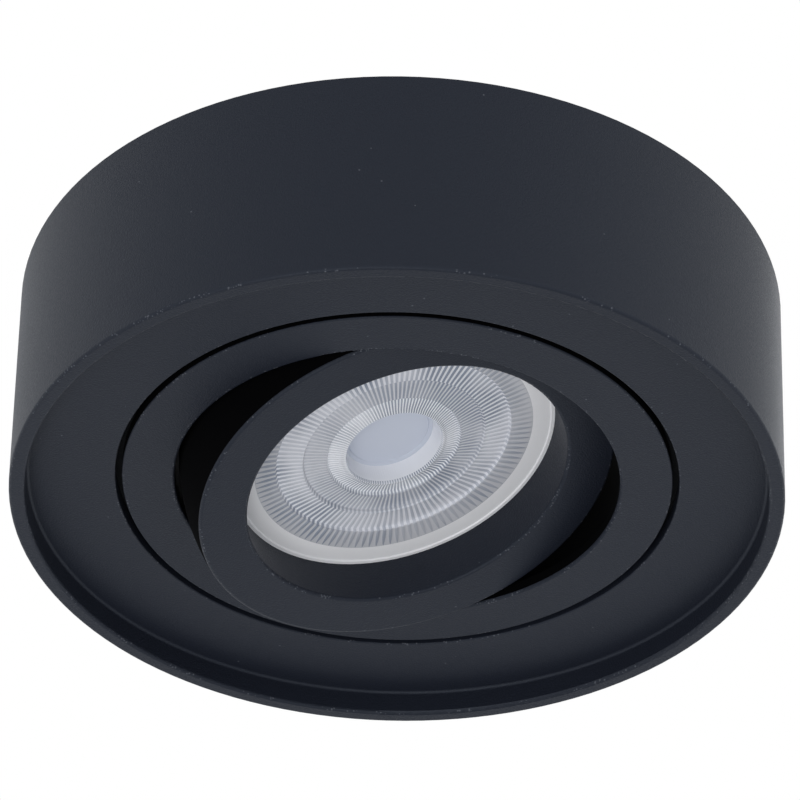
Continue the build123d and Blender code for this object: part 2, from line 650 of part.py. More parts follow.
# ------------------------------------------------------------------ gimbal
def gimbal_ring():
    """Ball-shaped skirt and flat face outside, round socket for the lamp module inside."""
    band = disc(BALL_RADIUS + OVERSHOOT, GIMBAL_FRONT, SKIRT_BEHIND_PIVOT)
    skirt = (Sphere(BALL_RADIUS) - Sphere(BALL_RADIUS - SKIRT_THICKNESS)) & band
    face = Sphere(BALL_RADIUS) & disc(BALL_RADIUS, GIMBAL_FRONT, GIMBAL_FRONT + GIMBAL_FACE_THICKNESS)
    body = skirt + face + disc(TUBE_RADIUS, GIMBAL_FRONT, TUBE_TOP)
    for side in (-1, 1):
        boss = rod(BOSS_RADIUS, (0, side * (TUBE_RADIUS - SEAM), 0), (0, side * (BALL_RADIUS + OVERSHOOT), 0))
        body += boss & Sphere(BALL_RADIUS)
    body += block(
        (-STOP_LUG_WIDTH / 2, BALL_RADIUS - STOP_LUG_ROOT, STOP_LUG_ABOVE_PIVOT),
        (STOP_LUG_WIDTH / 2, EAR_FACE + STOP_LUG_REACH, STOP_LUG_TOP),
    )
    body -= turned(
        [
            (0, GIMBAL_FRONT),
            (MOUTH_RADIUS, GIMBAL_FRONT),
            (MOUTH_RADIUS + MOUTH_DRAFT, LENS_FRONT),
            (0, LENS_FRONT),
        ]
    )
    body -= disc(SOCKET_RADIUS, LENS_FRONT, TUBE_TOP)
    body -= disc(SOCKET_RADIUS + WIRE_RADIUS, FLANGE_TOP, FLANGE_TOP + 2 * WIRE_RADIUS + FIT_CLEARANCE)
    for side in (-1, 1):
        past = (0, side * (EAR_FACE + OVERSHOOT), 0)
        body -= rod(BOSS_RADIUS - SPOT_MARGIN, (0, side * SPOT_FACE, 0), past)
        bottom = (0, side * (SPOT_FACE - AXLE_ENGAGEMENT - AXLE_END_GAP), 0)
        body -= rod(AXLE_RADIUS + AXLE_CLEARANCE, bottom, past)
    front = body.edges().filter_by(GeomType.CIRCLE).group_by(Axis.Z)[0]
    return GIMBAL * fillet(front, RIM_ROUND)


def lens_profile():
    """Corners of the lens: a deep round well, four saw-tooth rings and an upright rim."""
    high = LENS_FRONT + LENS_FACE_DROP
    front = [(0, LENS_FRONT + WELL_DEPTH), (WELL_RADIUS, LENS_FRONT + WELL_DEPTH)]
    front.append((WELL_MOUTH_RADIUS, high))
    for inner, outer in zip(LENS_RING_RADII, LENS_RING_RADII[1:]):
        front += [(inner, high), (outer, high + LENS_RING_RELIEF)]
    front += [(LENS_RING_RADII[-1], high), (MODULE_RADIUS - LENS_RIM_WIDTH, high)]
    front += [(MODULE_RADIUS - LENS_RIM_WIDTH, LENS_FRONT), (MODULE_RADIUS, LENS_FRONT)]
    back = LENS_FRONT + LENS_PLATE
    cup = LENS_FRONT + WELL_DEPTH + WELL_FLOOR
    rear = [(MODULE_RADIUS, SHELL_LOW), (SHELL_INNER, SHELL_LOW), (SHELL_INNER, back)]
    rear += [(CUP_ROOT_RADIUS, back), (CUP_RADIUS, cup), (0, cup)]
    return front + rear


def module_lens():
    return GIMBAL * turned(lens_profile())


def module_shell():
    return GIMBAL * ring(SHELL_INNER, MODULE_RADIUS, SHELL_LOW, SHELL_TOP)


def board_hole(low, high):
    """Cutter for the hole that the board's two wires pass."""
    return Pos(BOARD_HOLE_X, 0, 0) * disc(BOARD_HOLE_RADIUS, low, high)


def led_board():
    low = SHELL_TOP - BOARD_THICKNESS
    return GIMBAL * (disc(SHELL_INNER - MODULE_CLEARANCE, low, SHELL_TOP) - board_hole(low, SHELL_TOP))


def led_chips():
    """One chip in the middle and the others on a circle, behind the lens's well."""
    low = SHELL_TOP - BOARD_THICKNESS - CHIP_HEIGHT
    chip = block((-CHIP_SIZE / 2, -CHIP_SIZE / 2, low), (CHIP_SIZE / 2, CHIP_SIZE / 2, low + CHIP_HEIGHT))
    return [GIMBAL * copy for copy in [chip] + around(Pos(CHIP_CIRCLE, 0, 0) * chip, CHIP_COUNT)]


def cover_screw_places():
    step = 360.0 / COVER_SCREW_COUNT
    return [on_circle(COVER_SCREW_CIRCLE, 60 + step * number, 0) for number in range(COVER_SCREW_COUNT)]


def heat_sink():
    """Flange that carries the board, a ring of fins behind it, and the driver's round space inside."""
    body = disc(MODULE_RADIUS, SHELL_TOP, FLANGE_TOP) + ring(CAVITY_RADIUS, SINK_CORE, FLANGE_TOP, SINK_TOP)
    fin = block(
        (SINK_CORE - SEAM, -FIN_THICKNESS / 2, FLANGE_TOP - SEAM), (SINK_RADIUS, FIN_THICKNESS / 2, SINK_TOP)
    )
    for copy in around(fin, FIN_COUNT, 360.0 / FIN_COUNT / 2):
        body += copy
    for place in cover_screw_places():
        bottom = FLANGE_TOP + COVER_SCREW_DEPTH
        body += Pos(*place) * disc(COVER_SCREW_RADIUS + SCREW_BOSS_WALL, FLANGE_TOP - SEAM, SINK_TOP)
        body -= Pos(*place) * disc(COVER_SCREW_RADIUS + THREAD_CLEARANCE, bottom, SINK_TOP)
    standoff = Pos(STANDOFF_CIRCLE, 0, 0) * disc(STANDOFF_RADIUS, FLANGE_TOP - SEAM, DRIVER_LOW)
    for copy in around(standoff, COVER_SCREW_COUNT):
        body += copy
    return GIMBAL * (body - board_hole(SHELL_TOP, FLANGE_TOP))


def driver_board():
    board = disc(CAVITY_RADIUS - MODULE_CLEARANCE, DRIVER_LOW, DRIVER_TOP)
    for place in cover_screw_places():
        notch = COVER_SCREW_RADIUS + SCREW_BOSS_WALL + MODULE_CLEARANCE
        board -= Pos(*place) * disc(notch, DRIVER_LOW, DRIVER_TOP)
    return GIMBAL * board


def driver_parts():
    """Rectifier, controller, storage capacitor and choke on the driver board, inside the cover's screws."""
    reach = COVER_SCREW_CIRCLE - (COVER_SCREW_RADIUS + SCREW_BOSS_WALL + FIT_CLEARANCE)
    top = SINK_TOP - COMPONENT_GAP
    on_board = Pos(0, 0, DRIVER_TOP)
    rectifier = on_board * block((-reach, -2.0, 0), (4.5 - reach, 2.0, 1.6))
    controller = on_board * block((-1.5, 0.5 - reach, 0), (2.5, 5.5 - reach, 1.4))
    resistor = on_board * block((5.0 - reach, 3.0 - reach, 0), (7.8 - reach, 4.6 - reach, 0.7))
    capacitor = Pos(reach - 4.5, 0, 0) * disc(3.2, DRIVER_TOP, top)
    winding = ring(2.4, 3.0, DRIVER_TOP + SEAM, top - SEAM)
    choke = Pos(-1.0, reach - 3.0, 0) * (disc(3.0, DRIVER_TOP, top) - winding)
    return [GIMBAL * part for part in (rectifier, controller, capacitor, choke, resistor)]


def module_back_cover():
    cover = disc(COVER_RADIUS, SINK_TOP, COVER_TOP)
    cover -= disc(SLEEVE_RADIUS + BUSH_TUBE_WALL + FIT_CLEARANCE, SINK_TOP, COVER_TOP)
    for place in cover_screw_places():
        cover -= Pos(*place) * disc(COVER_SCREW_RADIUS + FIT_CLEARANCE, SINK_TOP, COVER_TOP)
    return GIMBAL * cover


def module_screws():
    head = Pos(0, 0, COVER_TOP + COVER_SCREW_HEAD_HEIGHT) * Rot(180, 0, 0) * slotted_head(
        COVER_SCREW_HEAD_RADIUS, 0, COVER_SCREW_HEAD_HEIGHT
    )
    screw = head + disc(COVER_SCREW_RADIUS, FLANGE_TOP + 2 * COVER_SCREW_DEPTH, COVER_TOP + FIT_CLEARANCE)
    return [GIMBAL * Pos(*place) * screw for place in cover_screw_places()]


def lead_bush():
    """Soft bush in the back cover; the sleeve starts at its top face."""
    radius = SLEEVE_RADIUS + BUSH_TUBE_WALL
    return GIMBAL * turned(
        [
            (BUSH_BORE, SINK_TOP),
            (radius, SINK_TOP),
            (radius, COVER_TOP),
            (radius + BUSH_FOOT_WIDTH, COVER_TOP),
            (radius, BUSH_TOP),
            (BUSH_BORE, BUSH_TOP),
        ]
    )


def module_retainer():
    """Wire snap ring behind the module's flange, its two ends turned inwards."""
    middle = SOCKET_RADIUS
    height = FLANGE_TOP + WIRE_RADIUS + WIRE_LIFT
    turn = 360.0 - WIRE_GAP_DEGREES
    section = Plane(origin=(middle, 0, height), x_dir=(1, 0, 0), z_dir=(0, -1, 0)) * Circle(WIRE_RADIUS)
    wire = revolve(section, Axis.Z, revolution_arc=turn)
    for azimuth in (0.0, turn):
        end = on_circle(SINK_RADIUS + WIRE_END_GAP, azimuth, height)
        wire += rod(WIRE_RADIUS, on_circle(middle, azimuth, height), end)
        wire += Pos(*on_circle(middle, azimuth, height)) * Sphere(WIRE_RADIUS)
    return GIMBAL * Rot(0, 0, 90 + WIRE_GAP_DEGREES / 2) * wire


# ------------------------------------------------------------------ write the pieces
PIECES = {
    "housing_drum": housing_drum(),
    "mounting_bracket": mounting_bracket(),
    "bracket_side_screws": bracket_side_screws(),
    "cable_bush": cable_bush(),
    "terminal_block": terminal_block(),
    "terminal_clamps": terminal_clamps(),
    "terminal_screws": terminal_screws(),
    "terminal_fixing_screw": terminal_fixing_screw(),
    "earth_lug": earth_lug(),
    "earth_screw": earth_screw(),
    "earth_lead": earth_lead(),
    "live_core": core_lead(-1),
    "neutral_core": core_lead(1),
    "module_lead": module_lead(),
    "swivel_ring": swivel_ring(),
    "swivel_washer": swivel_washer(),
    "retaining_ring": retaining_ring(),
    "pivot_screws": pivot_screws(),
    "tilt_washers": tilt_washers(),
    "gimbal_ring": gimbal_ring(),
    "module_lens": module_lens(),
    "module_shell": module_shell(),
    "led_board": led_board(),
    "led_chips": led_chips(),
    "heat_sink": heat_sink(),
    "driver_board": driver_board(),
    "driver_parts": driver_parts(),
    "module_back_cover": module_back_cover(),
    "module_screws": module_screws(),
    "lead_bush": lead_bush(),
    "module_retainer": module_retainer(),
}

os.makedirs("parts", exist_ok=True)
for node, piece in PIECES.items():
    solids = [solid for part in (piece if isinstance(piece, list) else [piece]) for solid in part.solids()]
    export_step(Compound(children=solids) if len(solids) > 1 else solids[0], f"parts/{node}.step")
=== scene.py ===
"""Looks of the surface mounted ceiling spotlight: ribbed lens, sleeved lead, finishes, light and camera.

Metres. The origin is the centre of the ceiling face, +Z up, so the light hangs down.
"""

import json
from math import atan2, cos, pi, radians, sin

import bmesh
import bpy
from mathutils import Matrix, Vector


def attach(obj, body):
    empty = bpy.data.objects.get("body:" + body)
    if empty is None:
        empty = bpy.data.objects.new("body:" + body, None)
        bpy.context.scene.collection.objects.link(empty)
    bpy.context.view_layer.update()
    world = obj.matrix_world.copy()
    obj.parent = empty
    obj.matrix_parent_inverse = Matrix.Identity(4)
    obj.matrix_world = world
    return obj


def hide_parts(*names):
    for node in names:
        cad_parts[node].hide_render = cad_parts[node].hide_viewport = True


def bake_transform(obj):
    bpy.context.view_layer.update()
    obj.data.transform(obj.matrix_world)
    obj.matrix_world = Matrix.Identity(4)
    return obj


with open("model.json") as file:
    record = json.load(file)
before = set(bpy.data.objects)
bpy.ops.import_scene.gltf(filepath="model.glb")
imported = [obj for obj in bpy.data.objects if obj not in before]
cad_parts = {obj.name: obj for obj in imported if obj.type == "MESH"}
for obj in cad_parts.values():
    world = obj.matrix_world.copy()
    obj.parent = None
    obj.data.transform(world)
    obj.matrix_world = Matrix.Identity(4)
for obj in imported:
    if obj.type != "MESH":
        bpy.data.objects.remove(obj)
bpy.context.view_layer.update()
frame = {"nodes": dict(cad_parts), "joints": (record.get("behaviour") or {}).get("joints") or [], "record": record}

MM = 0.001
SHARP_ANGLE = 35.0
LENS_SHARP_ANGLE = 40.0
NOISE_RANGE = (0.3, 0.7)  # where most of a noise texture's values lie

# ------------------------------------------------------------------ camera and light
PHOTO_SIZE = 800
FOCAL_PIXELS = 6098.0
SENSOR_WIDTH = 36.0
CAMERA_PLACE = Vector((0, -0.7339, -0.5624))
CAMERA_PITCH = 0.6406
CAMERA_YAW = 0.0002
CAMERA_ROLL = 0.0221
FLOOR_HEIGHT = -1.6
FLOOR_SIZE = 2.4
WORLD_LEVEL = 0.60
WORLD_TINT = (0.95, 0.97, 1.0)
ZENITH_START = 0.70
ZENITH_END = 0.92
ZENITH_LEVEL = 0.15
LAMP_SIZE = 0.8
LAMPS = {
    "key": (Vector((-0.3, -0.9, -1.25)), 7.5),
    "fill": (Vector((1.2, -0.8, 0.2)), 1.8),
    "back": (Vector((0.3, 1.3, 0.6)), 3.5),
}

# ------------------------------------------------------------------ lens
RIB_COUNT = 120
RIB_STEPS = 8
RIB_HEIGHT = 0.13 * MM
LENS_RINGS = (7.9 * MM, 10.3 * MM, 14.0 * MM, 18.2 * MM)
RING_RELIEF = 0.55 * MM
RING_STEPS = 7
RING_RISER = 0.16 * MM
WELL_RADIUS = 6.9 * MM
WELL_MOUTH = 7.4 * MM
WELL_DEPTH = 3.3 * MM
WELL_GROOVE_RADIUS = 6.3 * MM
WELL_GROOVE_DEPTH = 0.15 * MM
FACE_DROP = 0.2 * MM
RIB_FADE_RADIUS = 21.6 * MM
# painted light and shade: each ring of the clear lens gets its own brightness
RING_LIGHT_LEVELS = ((WELL_MOUTH, 1.0), (LENS_RINGS[1], 0.74), (LENS_RINGS[2], 0.92), (LENS_RINGS[3], 0.66))
RIM_WIDTH = 0.8 * MM
TONE_RADIUS = 26.0 * MM  # radius that the far end of the colour ramp stands for
LENS_BACK = 1.7 * MM
CUP_FLOOR = 1.0 * MM
CUP_RADIUS = 8.4 * MM
CUP_ROOT_RADIUS = 10.5 * MM
LENS_COLOR = (0.95, 0.96, 1.0)
# painted light: the smooth band past the ribs is a little lighter than the rest of the lens
LENS_BAND_COLOR = (0.98, 0.98, 1.0)
# painted shade and reflection: the colour of a rib's dark side
RIB_SHADE_COLOR = (0.27, 0.31, 0.39)
RING_BLUE = 1.02  # blue of a ring's tone, as a share of its level
LENS_EDGE_HEIGHT = 3.0 * MM
LENS_EDGE_WALL = 1.5 * MM
FROSTED_ROUGHNESS = 0.45
FROSTED_COLOR = (0.62, 0.66, 0.76)
BAND_GLOSS = 0.10
WELL_RIB_SHARE = 0.5  # height of the ribs on the well's wall, as a share of RIB_HEIGHT
STEP_RIB_SHARE = 0.4  # the same at a ring's inner and outer edge
OUTER_RIB_SHARE = 1.3  # the same where the outer ribs start
# the painted shade and reflection on the ribs: where it falls, and how deep it is in patches
STRIPE_LEVEL = 0.45  # a rib is dark where its wave, from 0 to 1, passes this
STREAK_SIZE = 9.0 * MM
STREAK_NOISE = (0.38, 0.66)
STREAK_DEPTH = (0.30, 0.95)

# ------------------------------------------------------------------ lead from lamp module to terminal block
SLEEVE_RADIUS = 1.3 * MM
LEAD_STRAIGHT = 5.0 * MM
CLAMP_X = 38.398
TUBE_ROUNDNESS = 5
TUBE_STEPS = 14
LEAD_ROUTE = (
    Vector((-2.3, 10.2, -3.3)) * MM,
    Vector((6.5, 24.5, -3.0)) * MM,
    Vector((20.0, 34.0, -6.0)) * MM,
    Vector((33.0, 31.0, -8.0)) * MM,
    Vector((CLAMP_X, 22.5, -7.0)) * MM,
    Vector((CLAMP_X, 14.5, -7.0)) * MM,
)

# ------------------------------------------------------------------ coated edges, as (radius, height)
DRUM_EDGES = ((57.4 * MM, -34.9 * MM), (55.2 * MM, -34.9 * MM), (41.9 * MM, -31.0 * MM))
SWIVEL_EDGES = ((40.8 * MM, -30.9 * MM), (33.4 * MM, -30.9 * MM))
GIMBAL_EDGES = ((31.9 * MM, -5.9 * MM), (24.9 * MM, -5.9 * MM))
EDGE_WIDTH = 0.28 * MM
COAT_COLOR = (0.0115, 0.0140, 0.0225)
# painted glints: the colour of bright dots on the coat, thick along its edges
GLINT_COLOR = (0.075, 0.080, 0.095)
# painted shade: near black for the inner faces that show only as a dark gap
PAINTED_SHADE_COLOR = (0.0012, 0.0012, 0.0016)
SHADED_SPECULAR = 0.04
COAT_SPECULAR = 0.28
COAT_TINT = (0.82, 0.90, 1.0)
COAT_ROUGHNESS = (0.44, 0.56)
HIDDEN_ROUGHNESS = 0.85
GRAIN_SIZE = 0.26 * MM
PEEL_SIZE = 0.9 * MM
# where the painted glints bunch along the edges, and how many glint dots there are
GLINT_STRETCH_SIZE = 7.0 * MM
GLINT_STRETCH_LEVEL = 0.48
EDGE_GLINTS = (0.35 * MM, 0.30, 0.42)  # cell size, share of the cells, radius as a share of a cell
FACE_GLINTS = (1.6 * MM, 0.06, 0.09)

# ------------------------------------------------------------------ inner faces given painted shade, as (height, radius)
DRUM_HIDDEN = (-28.9 * MM, 56.0 * MM)
SWIVEL_HIDDEN = (-30.5 * MM, 90.0 * MM)
GIMBAL_HIDDEN = (-5.3 * MM, 26.0 * MM)
GIMBAL_PAINTED_SHADE_HEIGHT = -5.2 * MM


# ------------------------------------------------------------------ places read from the frame
joints = {joint["name"]: joint for joint in frame["joints"]}
tilt_axis = Vector(joints["lamp_tilt"]["axis"]).normalized()
lean = tilt_axis.cross(Vector((0, 0, -1)))
rest_tilt = -sum(joints["lamp_tilt"]["range_deg"]) / 2
pivot = Vector(joints["lamp_tilt"]["pos_m"])
AIM_TURN = atan2(lean.y, lean.x)
LEAN_TURN = -radians(rest_tilt)
GIMBAL = Matrix.Translation(pivot) @ Matrix.Rotation(AIM_TURN, 4, "Z") @ Matrix.Rotation(LEAN_TURN, 4, "Y")


def local_box(node, place):
    """Lowest and highest corner of a CAD node in a frame of its own."""
    inverse = place.inverted()
    corners = [inverse @ vertex.co for vertex in frame["nodes"][node].data.vertices]
    low = Vector([min(corner[axis] for corner in corners) for axis in range(3)])
    high = Vector([max(corner[axis] for corner in corners) for axis in range(3)])
    return low, high


# ------------------------------------------------------------------ mesh helpers
def mesh_object(name, points, faces, sharp_angle=SHARP_ANGLE):
    mesh = bpy.data.meshes.new(name)
    mesh.from_pydata([tuple(point) for point in points], [], faces)
    mesh.validate()
    mesh.polygons.foreach_set("use_smooth", [True] * len(mesh.polygons))
    mesh.set_sharp_from_angle(angle=radians(sharp_angle))
    made = bpy.data.objects.new(name, mesh)
    bpy.context.scene.collection.objects.link(made)
    return made


def turn_faces_outward(mesh):
    shape = bmesh.new()
    shape.from_mesh(mesh)
    bmesh.ops.recalc_face_normals(shape, faces=shape.faces)
    shape.to_mesh(mesh)
    shape.free()


def grid_faces(rows, columns, first=0):
    """Quads of a closed grid: rows of points, each row running once round."""
    faces = []
    for row in range(rows - 1):
        for column in range(columns):
            after = (column + 1) % columns
            low, high = first + row * columns, first + (row + 1) * columns
            faces.append((low + column, low + after, high + after, high + column))
    return faces


def fan_faces(centre, first, columns, flip):
    """Triangles from a middle point to one row of points."""
    faces = []
    for column in range(columns):
        after = (column + 1) % columns
        ends = (first + column, first + after) if flip else (first + after, first + column)
        faces.append((centre, *ends))
    return faces


# ------------------------------------------------------------------ material helpers
def new_material(name, color, roughness, metallic=0.0, **sockets):
    """Principled material; returns the material, its nodes, links and shader."""
    material = bpy.data.materials.new(name)
    material.use_nodes = True
    shader = material.node_tree.nodes["Principled BSDF"]
    shader.inputs["Base Color"].default_value = (*color, 1.0)
    shader.inputs["Roughness"].default_value = roughness
    shader.inputs["Metallic"].default_value = metallic
    for socket, value in sockets.items():
        shader.inputs[socket.replace("_", " ")].default_value = value
    return material, material.node_tree.nodes, material.node_tree.links, shader


def add(nodes, kind, **settings):
    """A node with its properties, and its inputs by name."""
    made = nodes.new(kind)
    for name, value in settings.items():
        if hasattr(made, name):
            setattr(made, name, value)
        else:
            made.inputs[name.replace("_", " ")].default_value = value
    return made


def noise(nodes, links, size, detail=3.0, stretch=(1, 1, 1)):
    """Noise whose features are about this size, in metres, in the object's own space."""
    place = add(nodes, "ShaderNodeTexCoord")
    scale = add(nodes, "ShaderNodeMapping")
    scale.inputs["Scale"].default_value = stretch
    texture = add(nodes, "ShaderNodeTexNoise", Scale=1.0 / size, Detail=detail)
    links.new(place.outputs["Object"], scale.inputs["Vector"])
    links.new(scale.outputs["Vector"], texture.inputs["Vector"])
    return texture


def add_bump(nodes, links, shader, height, strength, distance, before=None):
    bump = add(nodes, "ShaderNodeBump", Strength=strength, Distance=distance)
    links.new(height, bump.inputs["Height"])
    if before is not None:
        links.new(before.outputs["Normal"], bump.inputs["Normal"])
    links.new(bump.outputs["Normal"], shader.inputs["Normal"])
    return bump


def map_range(nodes, links, value, start, end, low, high):
    """Maps start to end onto low to high."""
    made = add(nodes, "ShaderNodeMapRange")
    made.inputs["From Min"].default_value = start
    made.inputs["From Max"].default_value = end
    made.inputs["To Min"].default_value = low
    made.inputs["To Max"].default_value = high
    links.new(value, made.inputs["Value"])
    return made.outputs["Result"]


def vary(nodes, links, value, low, high, socket):
    """Maps a noise value onto a range and feeds it to a socket."""
    links.new(map_range(nodes, links, value, *NOISE_RANGE, low, high), socket)


def color_between(nodes, links, factor, low, high, socket):
    """Feeds a socket with a colour that goes from low to high as the factor does."""
    ramp = add(nodes, "ShaderNodeValToRGB")
    ramp.color_ramp.elements[0].color = (*low, 1.0)
    ramp.color_ramp.elements[1].color = (*high, 1.0)
    links.new(factor, ramp.inputs["Fac"])
    links.new(ramp.outputs["Color"], socket)
    return ramp


def mix_colors(mix, links, factor, first, second):
    """Sets a colour mix node: its factor, and the colours that are given."""
    links.new(factor, mix.inputs[0])
    if first is not None:
        mix.inputs[6].default_value = (*first, 1.0)
    if second is not None:
        mix.inputs[7].default_value = (*second, 1.0)


# ------------------------------------------------------------------ finishes
def own_place(nodes, links, tilted=False):
    """Coordinates in the drum's frame, or in the lamp ring's own frame."""
    place = add(nodes, "ShaderNodeTexCoord")
    if not tilted:
        return place.outputs["Object"]
    turn = add(nodes, "ShaderNodeMapping", vector_type="TEXTURE")
    turn.inputs["Location"].default_value = pivot
    turn.inputs["Rotation"].default_value = (0, LEAN_TURN, AIM_TURN)
    links.new(place.outputs["Object"], turn.inputs["Vector"])
    return turn.outputs["Vector"]


def calc(nodes, links, operation, first, second=None, third=None):
    """A math node; each value is a number or a socket."""
    made = add(nodes, "ShaderNodeMath", operation=operation)
    for number, value in enumerate((first, second, third)):
        if value is None:
            continue
        if isinstance(value, (int, float)):
            made.inputs[number].default_value = value
        else:
            links.new(value, made.inputs[number])
    return made.outputs["Value"]


def radius_height(nodes, links, place):
    """Distance from the axis, and height along it."""
    parts = add(nodes, "ShaderNodeSeparateXYZ")
    links.new(place, parts.inputs["Vector"])
    across = calc(nodes, links, "POWER", parts.outputs["X"], 2.0)
    along = calc(nodes, links, "MULTIPLY_ADD", parts.outputs["Y"], parts.outputs["Y"], across)
    return calc(nodes, links, "SQRT", along), parts.outputs["Z"], parts


def glint_dots(nodes, links, place, size, share, radius):
    """Small dots of painted glint: 1 inside a dot, 0 elsewhere."""
    cells = add(nodes, "ShaderNodeTexVoronoi", Scale=1.0 / size)
    links.new(place, cells.inputs["Vector"])
    near = calc(nodes, links, "LESS_THAN", cells.outputs["Distance"], radius)
    tone = add(nodes, "ShaderNodeSeparateColor")
    links.new(cells.outputs["Color"], tone.inputs["Color"])
    chosen = calc(nodes, links, "LESS_THAN", tone.outputs["Red"], share)
    return calc(nodes, links, "MULTIPLY", near, chosen)


def edge_band(nodes, links, radius, height, edges):
    """1 near any of the edges and 0 elsewhere."""
    band = None
    for edge_radius, edge_height in edges:
        aside = calc(nodes, links, "SUBTRACT", radius, edge_radius)
        below = calc(nodes, links, "SUBTRACT", height, edge_height)
        across = calc(nodes, links, "MULTIPLY", aside, aside)
        square = calc(nodes, links, "MULTIPLY_ADD", below, below, across)
        near = calc(nodes, links, "LESS_THAN", square, EDGE_WIDTH ** 2)
        band = near if band is None else calc(nodes, links, "MAXIMUM", band, near)
    return band


def painted_glints(nodes, links, place, radius, height, edges):
    """1 inside a painted glint: many in patches along the edges, a few anywhere."""
    band = edge_band(nodes, links, radius, height, edges)
    patches = noise(nodes, links, GLINT_STRETCH_SIZE, 1.0)
    glint_stretch = calc(nodes, links, "GREATER_THAN", patches.outputs["Fac"], GLINT_STRETCH_LEVEL)
    edge_glint = calc(nodes, links, "MULTIPLY", band, glint_dots(nodes, links, place, *EDGE_GLINTS))
    edge_glint = calc(nodes, links, "MULTIPLY", edge_glint, glint_stretch)
    return calc(nodes, links, "MAXIMUM", edge_glint, glint_dots(nodes, links, place, *FACE_GLINTS))


def coat_relief(nodes, links, shader):
    """Sandy grain, then a faint orange peel; returns the grain."""
    grain = noise(nodes, links, GRAIN_SIZE, 4.0).outputs["Fac"]
    bump = add_bump(nodes, links, shader, grain, 0.85, 0.10 * MM)
    peel = noise(nodes, links, PEEL_SIZE, 2.0).outputs["Fac"]
    add_bump(nodes, links, shader, peel, 0.16, 0.08 * MM, bump)
    return grain


def coat_colors(nodes, links, shader, bright, hidden):
    """Black with painted glints as bright dots, and painted shade, near black, where it is hidden."""
    seen = add(nodes, "ShaderNodeMix", data_type="RGBA")
    mix_colors(seen, links, bright, COAT_COLOR, GLINT_COLOR)
    cover = add(nodes, "ShaderNodeMix", data_type="RGBA")
    mix_colors(cover, links, hidden, None, PAINTED_SHADE_COLOR)
    links.new(seen.outputs[2], cover.inputs[6])
    links.new(cover.outputs[2], shader.inputs["Base Color"])


def powder_coat(name, edges, hidden_height, hidden_radius, inside, tilted=False):
    """Fine textured black coat with painted glints as a few bright dots, more of them on its edges.

    The unseen inner faces, above hidden_height and inside or outside hidden_radius, get painted shade: near black
    and rough.
    """
    material, nodes, links, shader = new_material(name, COAT_COLOR, 0.5, Specular_IOR_Level=COAT_SPECULAR)
    shader.inputs["Specular Tint"].default_value = (*COAT_TINT, 1.0)
    place = own_place(nodes, links, tilted)
    radius, height, _ = radius_height(nodes, links, place)
    grain = coat_relief(nodes, links, shader)
    # painted glints: bright dots, many along the edges
    bright = painted_glints(nodes, links, place, radius, height, edges)
    # painted shade: the hidden inner faces turn near black and rough
    above = calc(nodes, links, "GREATER_THAN", height, hidden_height)
    aside = calc(nodes, links, "LESS_THAN" if inside else "GREATER_THAN", radius, hidden_radius)
    hidden = calc(nodes, links, "MULTIPLY", above, aside)
    coat_colors(nodes, links, shader, bright, hidden)
    coated = map_range(nodes, links, grain, *NOISE_RANGE, *COAT_ROUGHNESS)
    shade_roughness = calc(nodes, links, "MULTIPLY", hidden, HIDDEN_ROUGHNESS)
    links.new(calc(nodes, links, "MAXIMUM", coated, shade_roughness), shader.inputs["Roughness"])
    return material


def painted_shade_black():
    """Painted shade: near black and matt, for the inner faces that only show as a dark gap."""
    material, nodes, links, shader = new_material(
        "painted_shade_black", PAINTED_SHADE_COLOR, 0.9, Specular_IOR_Level=SHADED_SPECULAR
    )
    grain = noise(nodes, links, 0.3 * MM)
    darker = tuple(0.6 * channel for channel in PAINTED_SHADE_COLOR)
    color_between(nodes, links, grain.outputs["Fac"], darker, PAINTED_SHADE_COLOR, shader.inputs["Base Color"])
    add_bump(nodes, links, shader, grain.outputs["Fac"], 0.3, 0.05 * MM)
    return material


def shade_hidden_faces(node, place, above, outside, material):
    """Gives this material to a CAD node's faces above a height and outside a radius, in its own frame."""
    mesh = frame["nodes"][node].data
    mesh.materials.append(material)
    inverse = place.inverted()
    for face in mesh.polygons:
        centre = inverse @ face.center
        if centre.z > above and centre.xy.length > outside:
            face.material_index = 1


def zinc_steel():
    material, nodes, links, shader = new_material("zinc_steel", (0.44, 0.45, 0.47), 0.45, 1.0)
    clouds = noise(nodes, links, 4.0 * MM, 3.0)
    color_between(
        nodes,
        links,
        clouds.outputs["Fac"],
        (0.36, 0.38, 0.41),
        (0.52, 0.52, 0.51),
        shader.inputs["Base Color"],
    )
    rolled = noise(nodes, links, 0.5 * MM, 3.0, (0.08, 1, 1))
    vary(nodes, links, rolled.outputs["Fac"], 0.40, 0.54, shader.inputs["Roughness"])
    add_bump(nodes, links, shader, rolled.outputs["Fac"], 0.15, 0.03 * MM)
    return material


def black_steel():
    material, nodes, links, shader = new_material("black_steel", (0.035, 0.035, 0.04), 0.38, 0.6)
    grain = noise(nodes, links, 0.15 * MM)
    add_bump(nodes, links, shader, grain.outputs["Fac"], 0.2, 0.02 * MM)
    vary(nodes, links, grain.outputs["Fac"], 0.3, 0.5, shader.inputs["Roughness"])
    return material


def moulded(name, color, roughness, grain_size=0.3 * MM, spread=0.12, **sockets):
    """Moulded plastic or rubber: a little uneven in colour, with a fine grain."""
    material, nodes, links, shader = new_material(name, color, roughness, **sockets)
    clouds = noise(nodes, links, 6.0 * MM, 2.0)
    darker = tuple(channel * (1 - spread) for channel in color)
    color_between(nodes, links, clouds.outputs["Fac"], darker, color, shader.inputs["Base Color"])
    grain = noise(nodes, links, grain_size)
    vary(nodes, links, grain.outputs["Fac"], roughness - 0.06, roughness + 0.06, shader.inputs["Roughness"])
    add_bump(nodes, links, shader, grain.outputs["Fac"], 0.15, 0.03 * MM)
    return material


